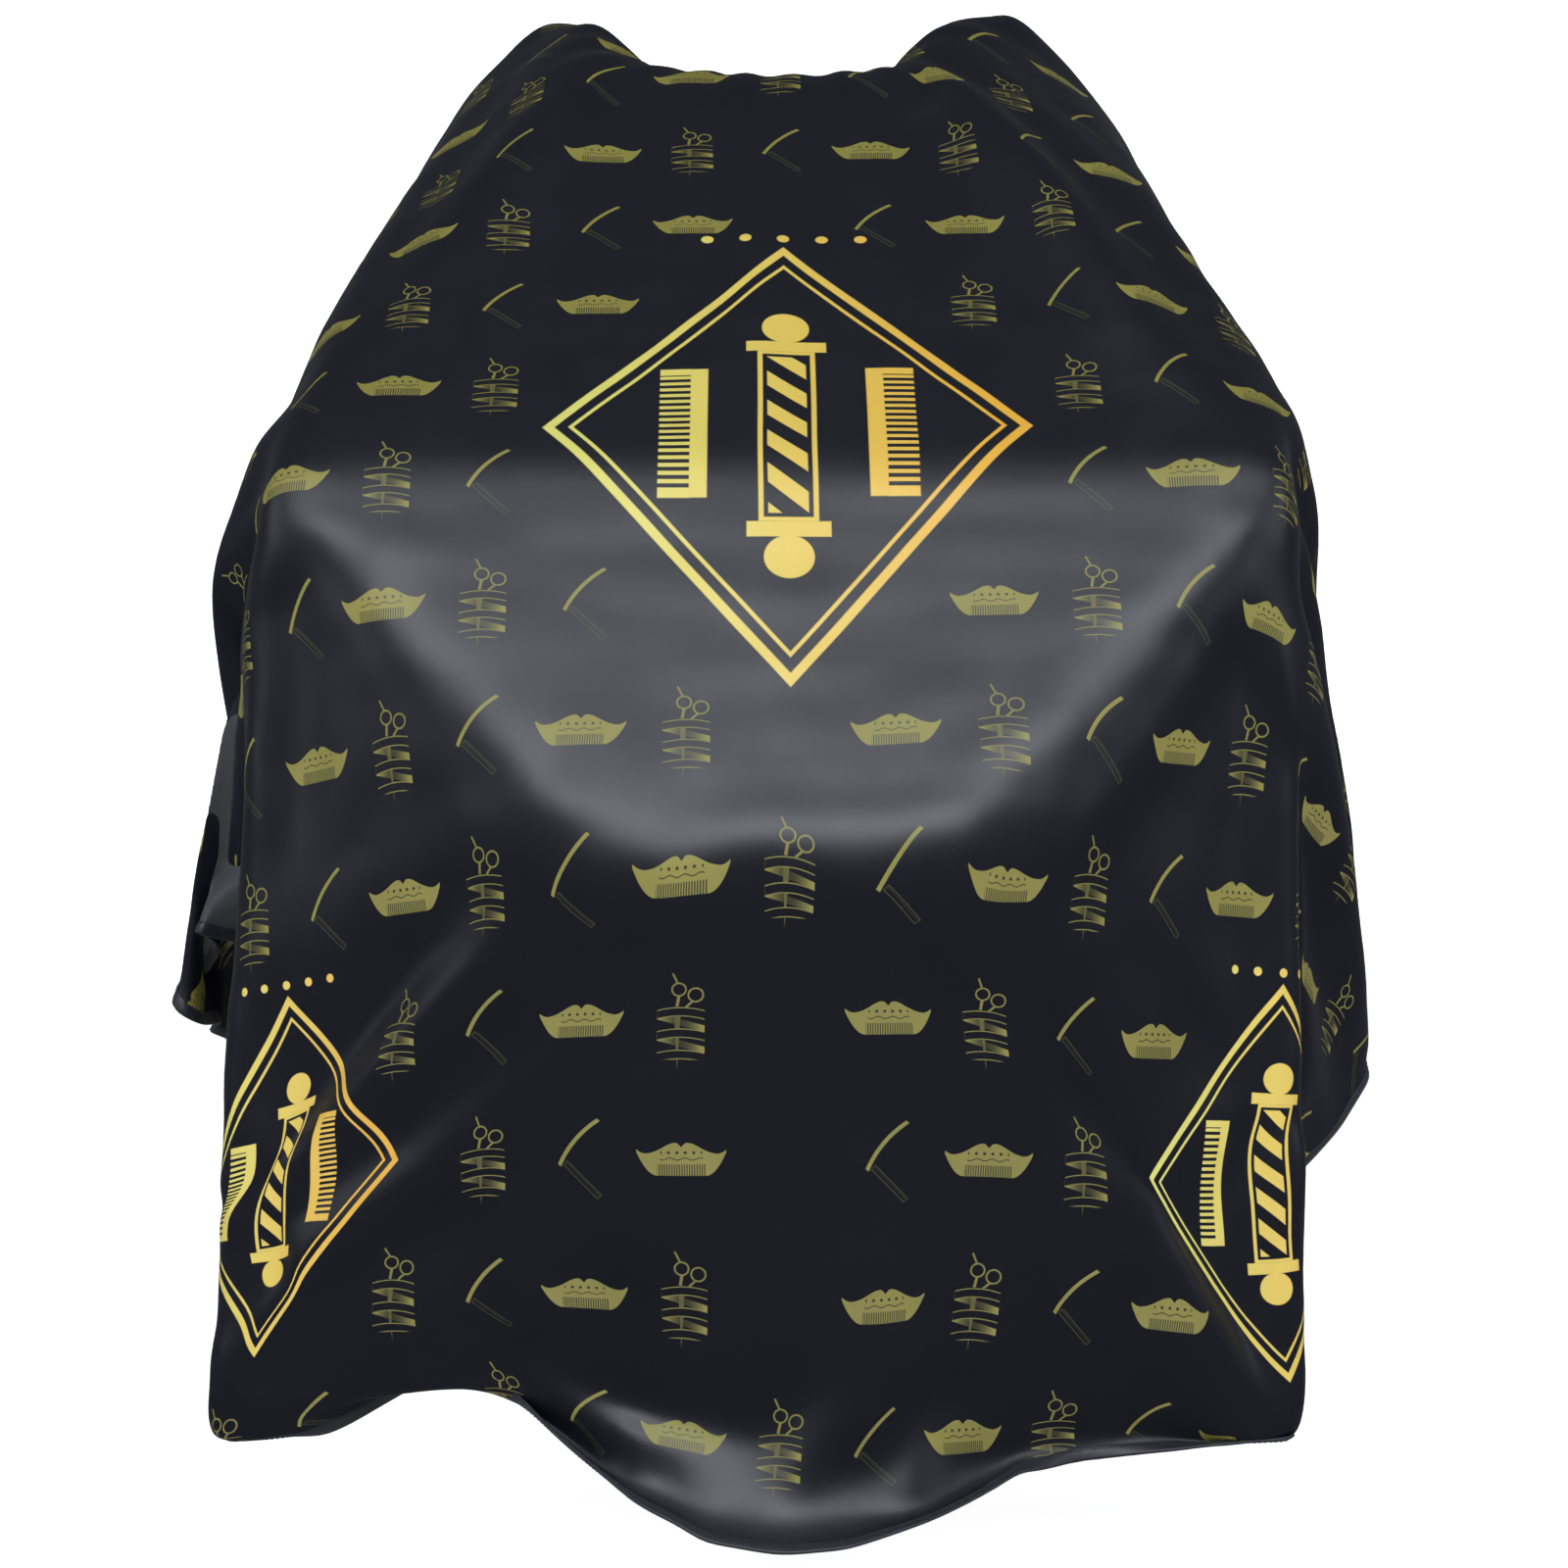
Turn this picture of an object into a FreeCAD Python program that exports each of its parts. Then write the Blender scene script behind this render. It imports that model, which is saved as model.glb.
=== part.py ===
import FreeCAD, Part
import math
import os

Vector = FreeCAD.Vector
CENTRE = Vector(0, 0, 0)
UP = Vector(0, 0, 1)

# Barber cape as worn over a seated person, in millimetres.
# Origin: centre of the neck opening. +Z up, the chest and lap face -Y, the closure is at the nape, +Y.

# ---- the printed sheet, its hems and their seams
NET_DEGREE = 2
PANEL_THICKNESS = 2.0
HEM_WIDTH = 8.0
HEM_THICKNESS = 3.2
HEM_GAP = 0.02
STITCH_LOW = 0.25
STITCH_HIGH = 0.35
STITCH_HEIGHT = 0.5
REAR_CORNER_U = 1.5
LOWER_CORNER_U = 5.0

# ---- neckband: cloth layers rolled into a ring, from the skin outwards
NECK_RADIUS = 62.0
LINING_THICKNESS = 0.6
STIFFENER_THICKNESS = 1.2
OUTER_THICKNESS = 0.6
BAND_HEIGHT = 30.0
FOLD_HEIGHT = 0.7
STIFFENER_MARGIN = 1.0
BAND_START = 92.0
BAND_SWEEP = 356.0
SEAM_TAPE_THICKNESS = 1.0
SEAM_TAPE_LOW = -20.0
SEAM_TAPE_HIGH = -12.0
THREAD_WIDTH = 0.6
THREAD_PROUD = 0.3
THREAD_INSET = 2.5

# ---- closure tab: the overlapping end of the band, which peels off its snaps
TAB_GAP = 2.6
TAB_ROOT = 91.0
TAB_SWEEP = 56.0
TAB_LOW = -10.0
TAB_HIGH = 14.0
TAB_BASE_START = 95.0
TAB_BASE_SWEEP = 12.0
TAB_BASE_GAP = 0.3
THREAD_END_GAP = 1.5

# ---- press snaps, their axes radial to the neck
SNAP_HEIGHT = 2.0
SNAP_PITCH = 22.0
FIRST_SNAP = 76.0
STUD_COUNT = 4
SOCKET_COUNT = 2
STUD_FLANGE_RADIUS = 4.6
STUD_FLANGE_THICKNESS = 0.5
STUD_NECK_RADIUS = 1.5
STUD_NECK_HEIGHT = 0.5
STUD_HEAD_RADIUS = 1.9
STUD_HEAD_HEIGHT = 0.8
STUD_SHANK_RADIUS = 1.0
STUD_BACK_RADIUS = 4.4
STUD_BACK_THICKNESS = 0.5
STUD_BACK_GAP = 0.05
SOCKET_RADIUS = 5.2
SOCKET_THICKNESS = 1.5
SOCKET_SETBACK = 0.2
SOCKET_ROOF = 0.3
SOCKET_BORE_RADIUS = 2.5
SPRING_RING_RADIUS = 2.8
SPRING_WIRE_RADIUS = 0.2
SPRING_SWEEP = 320.0
CAP_RADIUS = 6.0
CAP_THICKNESS = 1.0
CAP_EDGE_ROUND = 0.6
CAP_POST_RADIUS = 1.6

STIFFENER_INSIDE = NECK_RADIUS + LINING_THICKNESS
OUTER_INSIDE = STIFFENER_INSIDE + STIFFENER_THICKNESS
BAND_RADIUS = OUTER_INSIDE + OUTER_THICKNESS
LAYERS_THICKNESS = BAND_RADIUS - NECK_RADIUS
TAB_INSIDE = BAND_RADIUS + TAB_GAP
TAB_RADIUS = TAB_INSIDE + LAYERS_THICKNESS
BAND_LOW = -BAND_HEIGHT / 2
BAND_HIGH = BAND_HEIGHT / 2
STUD_ANGLES = [FIRST_SNAP - SNAP_PITCH * step for step in range(STUD_COUNT)]
SOCKET_ANGLES = STUD_ANGLES[:SOCKET_COUNT]

# ---- the drape: rays of the sheet from the neck edge to the hem, on the +X half. Stations along
# a ray: neck edge, collar foot, crest, middle, armrest line, knee level, shin level, hem line.
RAYS = [
    ("front_centre", [(0, -67, -15), (0, -80, -6), (0, -98, 20), (0, -290, -143),
                      (0, -482, -300), (0, -614, -549), (0, -572, -715), (0, -604, -940)]),
    ("front_quarter", [(23, -63, -15), (28, -76, -6), (40, -92, 23), (100, -286, -139),
                       (150, -482, -300), (150, -607, -549), (160, -570, -715), (168, -592, -928)]),
    ("front_outer", [(45, -50, -15), (53, -61, -8), (88, -74, 40), (180, -275, -126),
                     (262, -482, -300), (272, -552, -547), (283, -538, -715), (292, -536, -900)]),
    ("armrest_corner", [(57, -36, -15), (67, -44, -8), (126, -50, 64), (240, -262, -120),
                        (322, -482, -300), (326, -492, -547), (333, -492, -715), (340, -482, -882)]),
    ("side_front", [(64, -19, -15), (76, -22, -10), (158, -26, 73), (276, -168, -88),
                    (326, -310, -275), (350, -345, -480), (368, -365, -620), (382, -375, -718)]),
    ("side_middle", [(67, 0, -15), (79, 0, -12), (170, 0, 73), (272, -45, -34),
                     (320, -120, -235), (362, -155, -420), (394, -175, -550), (418, -185, -650)]),
    ("side_rear", [(62, 26, -17), (72, 31, -20), (140, 46, 40), (264, 55, -38),
                   (316, 55, -228), (352, 55, -385), (378, 52, -490), (400, 50, -586)]),
    ("rear_corner", [(48, 48, -19), (56, 57, -24), (104, 92, -16), (215, 132, -62),
                     (290, 160, -205), (328, 177, -335), (350, 184, -435), (362, 188, -526)]),
    ("back_outer", [(32, 60, -20), (38, 70, -26), (66, 108, -34), (116, 148, -64),
                    (168, 172, -112), (200, 184, -158), (224, 191, -198), (244, 198, -236)]),
    ("back_centre", [(10, 67, -20), (10, 79, -28), (10, 108, -40), (10, 133, -50),
                     (10, 153, -60), (10, 172, -70), (10, 189, -79), (10, 204, -88)]),
]


# ---- helpers

def radial(angle, radius, height=0.0):
    """The point at an angle in degrees round the neck, 90 at the nape."""
    turn = math.radians(angle)
    return Vector(radius * math.cos(turn), radius * math.sin(turn), height)


def ring_arc(inner, outer, low, high, start, sweep):
    """A piece of a tube round the neck, from start through sweep degrees."""
    profile = Part.makePolygon([
        radial(start, inner, low),
        radial(start, outer, low),
        radial(start, outer, high),
        radial(start, inner, high),
        radial(start, inner, low),
    ])
    return Part.Face(profile).revolve(CENTRE, UP, sweep)


def plate(angle, near, far, radius):
    """A round plate between two distances from the neck's axis, at snap height."""
    return Part.makeCylinder(radius, far - near, radial(angle, near, SNAP_HEIGHT), radial(angle, 1.0))


def fused(solids):
    return solids[0].multiFuse(solids[1:]).removeSplitter()


def save(node, solids):
    shape = solids[0] if len(solids) == 1 else Part.makeCompound(solids)
    shape.exportStep(os.path.join("parts", node + ".step"))


# ---- the sheet

def drape_net():
    """Rays from the left edge of the back slit, round the front, to its right edge."""
    right = [points for name, points in RAYS]
    left = [[(-x, y, z) for x, y, z in points] for points in reversed(right[1:])]
    return [[Vector(*point) for point in ray] for ray in left + right]


def clamped_knots(count):
    spans = count - NET_DEGREE
    knots = [float(knot) for knot in range(spans + 1)]
    mults = [NET_DEGREE + 1] + [1] * (spans - 1) + [NET_DEGREE + 1]
    return knots, mults


def spline_surface(net):
    """A smooth surface pulled towards the net's points, which never overshoots them."""
    u_knots, u_mults = clamped_knots(len(net))
    v_knots, v_mults = clamped_knots(len(net[0]))
    surface = Part.BSplineSurface()
    surface.buildFromPolesMultsKnots(
        net, u_mults, v_mults, u_knots, v_knots, False, False, NET_DEGREE, NET_DEGREE
    )
    return surface


def pole_place(index, count):
    """The parameter at which a pole pulls the surface most."""
    spans = count - NET_DEGREE
    return min(max(index - (NET_DEGREE - 1) / 2, 0.0), float(spans))


def offset_surface(net, distance):
    """The net's surface, moved away from the wearer by a distance, or towards if negative."""
    surface = spline_surface(net)
    moved = []
    for row, ray in enumerate(net):
        u = pole_place(row, len(net))
        places = [pole_place(column, len(ray)) for column in range(len(ray))]
        moved.append([pole + surface.normal(u, v) * distance for pole, v in zip(ray, places)])
    return spline_surface(moved)


def skin(net, low, high, limits=None):
    """A closed solid between two offsets of a net's surface, within (u0, u1, v0, v1) if given."""
    surfaces = [offset_surface(net, high), offset_surface(net, low)]
    if limits:
        for surface in surfaces:
            surface.segment(*limits)
    faces = [surface.toShape() for surface in surfaces]
    for first, second in zip(faces[0].Edges, faces[1].Edges):
        faces.append(Part.makeRuledSurface(first, second))
    shell = Part.makeShell(faces)
    shell.sewShape()
    solid = Part.makeSolid(shell)
    if solid.Volume < 0:
        solid.reverse()
    return solid


def extended_net(rows):
    """A narrow net that carries each row on past its last pole by the hem's width."""
    net = []
    for row in rows:
        direction = (row[-1] - row[-2]).normalize()
        net.append([row[-1] + direction * HEM_WIDTH * share for share in (0.0, 0.5, 1.0)])
    return net


def hem_strips(net):
    """Each outer hem with the part of the hem net that it covers, by its name."""
    spans = len(net) - NET_DEGREE
    marks = {
        "back_hem_left": (0.0, REAR_CORNER_U),
        "side_hem_left": (REAR_CORNER_U, LOWER_CORNER_U),
        "bottom_hem": (LOWER_CORNER_U, spans - LOWER_CORNER_U),
        "side_hem_right": (spans - LOWER_CORNER_U, spans - REAR_CORNER_U),
        "back_hem_right": (spans - REAR_CORNER_U, float(spans)),
    }
    hem_net = extended_net(net)
    return {name: (hem_net, start + HEM_GAP, end - HEM_GAP) for name, (start, end) in marks.items()}


def slit_strips(net):
    """The hems of the slit's two edges, which run from the neck to the back edge."""
    spans = len(net[0]) - NET_DEGREE
    strips = {}
    for name, near, far in (("slit_hem_left", net[0], net[1]), ("slit_hem_right", net[-1], net[-2])):
        side = 1.0 if far[0].x < near[0].x else -1.0
        rows = [[pole - Vector(side, 0, 0), pole] for pole in near]
        strips[name] = (extended_net(rows), HEM_GAP, spans - HEM_GAP)
    return strips


def make_sheet():
    net = drape_net()
    save("cape_panel", [skin(net, -PANEL_THICKNESS / 2, PANEL_THICKNESS / 2)])
    stitches = []
    for name, (hem_net, start, end) in {**hem_strips(net), **slit_strips(net)}.items():
        save(name, [skin(hem_net, -HEM_THICKNESS / 2, HEM_THICKNESS / 2, (start, end, 0.0, 1.0))])
        low = HEM_THICKNESS / 2
        limits = (start, end, STITCH_LOW, STITCH_HIGH)
        outward = -1.0 if name == "slit_hem_left" else 1.0
        edges = sorted((outward * low, outward * (low + STITCH_HEIGHT)))
        stitches.append(skin(hem_net, edges[0], edges[1], limits))
    save("hem_stitching", stitches)


# ---- layered bands of cloth round the neck

def folded_cover(inner, low, high, start, sweep):
    """The outer cloth of a band, turned in over its top and bottom edges."""
    outer = inner + LAYERS_THICKNESS
    block = ring_arc(inner, outer, low, high, start, sweep)
    hollow = ring_arc(
        inner - 1.0, outer - OUTER_THICKNESS, low + FOLD_HEIGHT, high - FOLD_HEIGHT, start, sweep
    )
    return block.cut(hollow)


def lining(inner, low, high, start, sweep):
    return ring_arc(inner, inner + LINING_THICKNESS, low + FOLD_HEIGHT, high - FOLD_HEIGHT, start, sweep)


def stiffener(inner, low, high, start, sweep):
    margin = FOLD_HEIGHT + STIFFENER_MARGIN
    near = inner + LINING_THICKNESS
    return ring_arc(near, near + STIFFENER_THICKNESS, low + margin, high - margin, start, sweep)


def edge_threads(outer, low, high, start, sweep):
    """The two rows of stitching along a band's top and bottom edges."""
    rows = (low + THREAD_INSET, high - THREAD_INSET - THREAD_WIDTH)
    return [
        ring_arc(outer, outer + THREAD_PROUD, row, row + THREAD_WIDTH, start, sweep) for row in rows
    ]


def make_neckband():
    span = (BAND_LOW, BAND_HIGH, BAND_START, BAND_SWEEP)
    backs = fused_cutters(STUD_ANGLES, stud_back)
    shanks = fused_cutters(STUD_ANGLES, stud_shank)
    save("neckband_lining", [lining(NECK_RADIUS, *span)])
    save("neckband_stiffener", [stiffener(NECK_RADIUS, *span).cut(backs).cut(shanks)])
    save("neckband_cover", [folded_cover(NECK_RADIUS, *span).cut(shanks)])
    threads = edge_threads(BAND_RADIUS, BAND_LOW, BAND_HIGH, TAB_BASE_START + TAB_BASE_SWEEP + 1.0,
                           BAND_SWEEP - TAB_BASE_SWEEP - THREAD_END_GAP * 4)
    save("neckband_stitching", threads)
    tape = ring_arc(BAND_RADIUS, BAND_RADIUS + SEAM_TAPE_THICKNESS, SEAM_TAPE_LOW, SEAM_TAPE_HIGH,
                    BAND_START, BAND_SWEEP)
    save("neck_seam_tape", [tape.cut(threads[0])])


def make_closure_tab():
    span = (TAB_LOW, TAB_HIGH, TAB_ROOT - TAB_SWEEP, TAB_SWEEP)
    posts = fused_cutters(SOCKET_ANGLES, cap_post)
    save("closure_tab_lining", [lining(TAB_INSIDE, *span).cut(posts)])
    save("closure_tab_stiffener", [stiffener(TAB_INSIDE, *span).cut(posts)])
    save("closure_tab_cover", [folded_cover(TAB_INSIDE, *span).cut(posts)])
    save("closure_tab_stitching", edge_threads(TAB_RADIUS, TAB_LOW, TAB_HIGH,
                                               TAB_ROOT - TAB_SWEEP + THREAD_END_GAP,
                                               TAB_SWEEP - 2 * THREAD_END_GAP))
    save("closure_tab_base", [ring_arc(BAND_RADIUS + TAB_BASE_GAP, TAB_RADIUS, TAB_LOW, TAB_HIGH,
                                       TAB_BASE_START, TAB_BASE_SWEEP)])


# ---- press snaps

def fused_cutters(angles, make):
    return fused([make(angle) for angle in angles])


def stud_back(angle):
    near = STIFFENER_INSIDE + STUD_BACK_GAP
    return plate(angle, near, near + STUD_BACK_THICKNESS, STUD_BACK_RADIUS)


def stud_shank(angle):
    near = STIFFENER_INSIDE + STUD_BACK_GAP + STUD_BACK_THICKNESS
    return plate(angle, near, BAND_RADIUS, STUD_SHANK_RADIUS)


def stud(angle):
    flange_top = BAND_RADIUS + STUD_FLANGE_THICKNESS
    head_base = flange_top + STUD_NECK_HEIGHT
    return fused([
        stud_shank(angle),
        plate(angle, BAND_RADIUS, flange_top, STUD_FLANGE_RADIUS),
        plate(angle, flange_top, head_base, STUD_NECK_RADIUS),
        plate(angle, head_base, head_base + STUD_HEAD_HEIGHT, STUD_HEAD_RADIUS),
    ])


def spring_torus(angle, radius, wire, sweep):
    middle = TAB_INSIDE - SOCKET_SETBACK - SOCKET_THICKNESS / 2
    return Part.makeTorus(
        radius, wire, radial(angle, middle, SNAP_HEIGHT), radial(angle, 1.0), 0, 360, sweep
    )


def socket(angle):
    far = TAB_INSIDE - SOCKET_SETBACK
    near = far - SOCKET_THICKNESS
    body = plate(angle, near, far, SOCKET_RADIUS)
    body = body.cut(plate(angle, near - 1.0, far - SOCKET_ROOF, SOCKET_BORE_RADIUS))
    return body.cut(spring_torus(angle, SPRING_RING_RADIUS, SPRING_WIRE_RADIUS, 360))


def socket_spring(angle):
    return spring_torus(angle, SPRING_RING_RADIUS, SPRING_WIRE_RADIUS, SPRING_SWEEP)


def cap_post(angle):
    return plate(angle, TAB_INSIDE - SOCKET_SETBACK, TAB_RADIUS, CAP_POST_RADIUS)


def cap(angle):
    head = plate(angle, TAB_RADIUS, TAB_RADIUS + CAP_THICKNESS, CAP_RADIUS)
    rim = max(head.Edges, key=lambda edge: edge.CenterOfMass.dot(radial(angle, 1.0)))
    return fused([head.makeFillet(CAP_EDGE_ROUND, [rim]), cap_post(angle)])


def make_snaps():
    save("snap_studs", [stud(angle) for angle in STUD_ANGLES])
    save("snap_stud_backs", [stud_back(angle) for angle in STUD_ANGLES])
    save("snap_sockets", [socket(angle) for angle in SOCKET_ANGLES])
    save("snap_socket_springs", [socket_spring(angle) for angle in SOCKET_ANGLES])
    save("snap_caps", [cap(angle) for angle in SOCKET_ANGLES])


def main():
    os.makedirs("parts", exist_ok=True)
    make_sheet()
    make_neckband()
    make_closure_tab()
    make_snaps()


main()
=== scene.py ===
import math

import bmesh
import bpy
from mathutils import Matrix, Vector, noise
from mathutils.bvhtree import BVHTree
from mathutils.geometry import barycentric_transform


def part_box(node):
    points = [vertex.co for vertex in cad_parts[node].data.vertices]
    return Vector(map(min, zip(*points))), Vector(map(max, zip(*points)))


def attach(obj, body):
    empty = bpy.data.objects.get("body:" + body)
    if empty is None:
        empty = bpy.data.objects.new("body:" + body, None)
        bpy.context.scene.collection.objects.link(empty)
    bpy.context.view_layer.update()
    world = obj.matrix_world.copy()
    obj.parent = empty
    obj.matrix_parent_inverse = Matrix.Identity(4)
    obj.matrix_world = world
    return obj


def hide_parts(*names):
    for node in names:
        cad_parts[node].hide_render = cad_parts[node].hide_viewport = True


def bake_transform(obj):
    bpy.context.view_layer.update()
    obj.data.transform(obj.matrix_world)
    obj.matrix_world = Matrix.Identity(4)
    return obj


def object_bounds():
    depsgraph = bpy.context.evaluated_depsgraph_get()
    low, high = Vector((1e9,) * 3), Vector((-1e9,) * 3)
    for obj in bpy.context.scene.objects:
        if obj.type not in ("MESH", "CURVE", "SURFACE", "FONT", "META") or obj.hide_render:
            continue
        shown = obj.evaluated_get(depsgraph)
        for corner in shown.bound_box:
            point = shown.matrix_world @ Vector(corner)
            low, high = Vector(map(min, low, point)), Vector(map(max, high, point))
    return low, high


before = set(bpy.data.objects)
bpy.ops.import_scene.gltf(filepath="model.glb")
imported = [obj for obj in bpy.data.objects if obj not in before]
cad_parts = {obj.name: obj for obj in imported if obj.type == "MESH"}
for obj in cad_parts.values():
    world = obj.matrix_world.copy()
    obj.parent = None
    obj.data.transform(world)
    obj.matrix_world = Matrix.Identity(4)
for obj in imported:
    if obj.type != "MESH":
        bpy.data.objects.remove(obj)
CAD_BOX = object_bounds()

# Barber cape, in metres, in the CAD frame: -Y is the front, +Z is up, the neck's centre is the origin.
# On the flat sheet, u runs across it from the neck's centre and v runs from there towards the bottom hem.

# ---- the flat sheet
HALF_WIDTH = 0.70
BACK_LENGTH = 0.220
FRONT_LENGTH = 1.275
NECK_CUT = 0.068
TAPER_START = 0.74
TAPER = 0.34
TAPER_POWER = 1.3
BOW_START = 0.50
BOW = 0.10
NIP = 0.030
NIP_AT = 0.20
NIP_REACH = 0.075
GRID_STEP = 0.020
SUBDIVISIONS = 2
SHEET_THICKNESS = 0.0008

# ---- the drape
CARRY_FRAMES = 45
HELD_FRAMES = 68
FREE_FRAMES = 24
HELD_HEM = ((-0.40, -0.37), (-0.25, -0.21), (-0.03, 0.03), (0.145, 0.17), (0.335, 0.365))
NECK_EDGE_RADIUS = 0.0662
NECK_EDGE_Z = -0.015
LIFT = 0.110
LIFT_REACH = 0.12
COLLIDER_VOXEL = 0.014
CLOTH_SETTINGS = {
    "quality": 8, "mass": 0.05, "air_damping": 1.5, "pin_stiffness": 1,
    "tension_stiffness": 40, "compression_stiffness": 40, "shear_stiffness": 10, "bending_stiffness": 0.08,
    "tension_damping": 10, "compression_damping": 10, "shear_damping": 10, "bending_damping": 0.5,
}
CALM_SWEEPS_ALL = 1
CALM_SWEEPS = 8
CALM_REACH = 0.16

# Where points of the sheet's edges are carried: the bottom hem's by their u, the two sides' by their row's v.
HEM_PLACES = [
    (-0.462, (-0.300, -0.400, -0.900)), (-0.385, (-0.354, -0.457, -0.905)),
    (-0.315, (-0.284, -0.452, -0.905)), (-0.250, (-0.224, -0.442, -0.868)),
    (-0.215, (-0.191, -0.450, -0.862)), (-0.170, (-0.153, -0.478, -0.880)),
    (-0.125, (-0.121, -0.512, -0.909)), (-0.080, (-0.084, -0.548, -0.930)),
    (-0.038, (-0.043, -0.570, -0.947)), (0.003, (0.003, -0.578, -0.954)),
    (0.043, (0.043, -0.570, -0.951)), (0.090, (0.090, -0.548, -0.941)),
    (0.132, (0.126, -0.520, -0.927)), (0.160, (0.149, -0.498, -0.918)),
    (0.200, (0.185, -0.475, -0.915)), (0.265, (0.245, -0.465, -0.910)),
    (0.350, (0.325, -0.457, -0.905)), (0.462, (0.270, -0.360, -0.895)),
]
LEFT_PLACES = [
    (0.86, (-0.372, -0.235, -0.655)), (0.96, (-0.345, -0.290, -0.718)),
    (1.06, (-0.312, -0.345, -0.768)), (1.17, (-0.298, -0.380, -0.832)),
    (FRONT_LENGTH, HEM_PLACES[0][1]),
]
RIGHT_PLACES = [
    (0.86, (0.418, -0.235, -0.674)), (0.96, (0.372, -0.290, -0.732)),
    (1.06, (0.312, -0.345, -0.780)), (1.17, (0.282, -0.370, -0.832)),
    (FRONT_LENGTH, HEM_PLACES[-1][1]),
]

# The seated body and chair under the cape, as convex solids: corner points, on one side or mirrored.
CHEST = [(0.085, -0.092, 0.031), (0, -0.096, 0.029), (0.316, -0.478, -0.312), (0.25, 0.05, -0.40),
         (0.1, -0.06, -0.05), (0.10, 0.02, -0.10), (0.3, -0.47, -0.35)]
SHOULDER = [(0.095, -0.085, 0.036), (0.125, -0.05, 0.061), (0.148, -0.005, 0.071), (0.185, 0.02, 0.058),
            (0.222, 0.0, 0.022), (0.248, -0.02, -0.03), (0.272, -0.06, -0.09), (0.303, -0.19, -0.2),
            (0.316, -0.478, -0.312), (0.29, 0.06, -0.16), (0.30, 0.06, -0.30), (0.2, 0.08, -0.02),
            (0.12, 0.06, -0.06), (0.12, 0.06, -0.35), (0.1, -0.3, -0.35)]
ARMREST = [(x, y, z) for x in (0.25, 0.316) for y in (-0.478, 0.12) for z in (-0.38, -0.314)]
FLARE = [(0.30, -0.30, -0.33), (0.30, 0.10, -0.33), (0.350, -0.22, -0.60), (0.350, 0.08, -0.60),
         (0.30, -0.30, -0.60), (0.30, 0.1, -0.60)]
LAP = [(0.10, -0.600, -0.565), (0.085, -0.608, -0.545), (0.18, -0.568, -0.520), (0.316, -0.475, -0.315),
       (0.20, -0.45, -0.60), (0.15, -0.56, -0.62), (0.2, -0.2, -0.6)]
FOOT = [(x, y, z) for x in (0.03, 0.09) for y in (-0.53, -0.40) for z in (-0.97, -0.93)]
LEFT_POST = [(-0.316, -0.478, -0.32), (-0.352, -0.457, -0.90), (-0.27, -0.47, -0.32), (-0.27, -0.45, -0.90),
             (-0.316, -0.440, -0.32), (-0.350, -0.425, -0.90), (-0.27, -0.44, -0.32), (-0.27, -0.42, -0.90)]
RIGHT_POST = [(0.318, -0.478, -0.32), (0.324, -0.457, -0.90), (0.27, -0.47, -0.32), (0.25, -0.45, -0.90),
              (0.316, -0.440, -0.32), (0.322, -0.425, -0.90), (0.27, -0.44, -0.32), (0.25, -0.42, -0.90)]
SHIN = [(x, y, z) for x in (0.05, 0.11) for y in (-0.45, -0.40) for z in (-0.97, -0.80)]

# ---- hems and thread
HEM_WIDTH = 0.008
HEM_SECTION = [(-0.0007, 0.0), (-0.0004, 0.0008), (0.0008, 0.0011), (0.0040, 0.0012), (0.0072, 0.0010),
               (0.0080, 0.0005), (0.0080, -0.0005), (0.0072, -0.0010), (0.0040, -0.0012),
               (0.0008, -0.0011), (-0.0004, -0.0008)]
HEM_PUCKER = 0.16
PUCKER_PITCH = 0.009
SLIT_GAP = 0.00002
SEAM_INSET = 0.0060
SEAM_HEIGHT = 0.0011
STITCH_PITCH = 0.0034
STITCH_LENGTH = 0.0024
STITCH_WIDTH = 0.0006

# ---- neckband and closure tab
COVER_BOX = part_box("neckband_cover")
TAB_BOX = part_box("closure_tab_cover")
NECK_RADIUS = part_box("neckband_lining")[1][0] - 0.0006
BAND_RADIUS = COVER_BOX[1][0]
BAND_HIGH = COVER_BOX[1][2]
BAND_LOW = COVER_BOX[0][2]
TAB_HIGH = TAB_BOX[1][2]
TAB_LOW = TAB_BOX[0][2]
CLOTH_LAYER = 0.0006
STIFFENER_LAYER = 0.0012
TAB_GAP = 0.0026
TAB_INSIDE = BAND_RADIUS + TAB_GAP
TAB_OUTSIDE = TAB_INSIDE + 2 * CLOTH_LAYER + STIFFENER_LAYER
BAND_START = 92.0
BAND_SWEEP = 356.0
TAB_TIP = 35.0
TAB_ROOT = 91.0
BASE_START = 95.0
BASE_END = 107.0
TAPE_THICKNESS = 0.0010
TAPE_LOW = -0.020
TAPE_HIGH = -0.012
TAPE_RIPPLE = 0.0002
LAYER_GAP = 0.0002
COVER_TURNED = 0.0035
LINING_INSET = 0.0022
CORE_INSET = 0.0015
BASE_GAP = 0.0003
ROW_INSET = 0.0025
ROW_RISE = 0.0001

# ---- the print: places and sizes in centimetres on the flat sheet, and two bump depths in metres
MOTIF_ACROSS = 6.17
MOTIF_DOWN = 8.95
MOTIF_FIRST_ROW = 66.5
EDGE_BLUR = 0.035
EMBLEM_BLUR = 0.08
CHEST_EMBLEM_V = 53.0
SIDE_EMBLEM_U = 34.5
SIDE_EMBLEM_V = 102.0
SIDE_EMBLEM_SCALE = 0.65
SIDE_EMBLEM_FROM_V = 80.0
CLOTH_DARK = (0.0036, 0.0040, 0.0080)
CLOTH_LIGHT = (0.0054, 0.0060, 0.0110)
CLOTH_ROUGHNESS = 0.41
OLIVE_DARK = (0.17, 0.155, 0.030)
OLIVE_LIGHT = (0.24, 0.215, 0.045)
GOLD_GREEN = (0.58, 0.56, 0.14)
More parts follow.
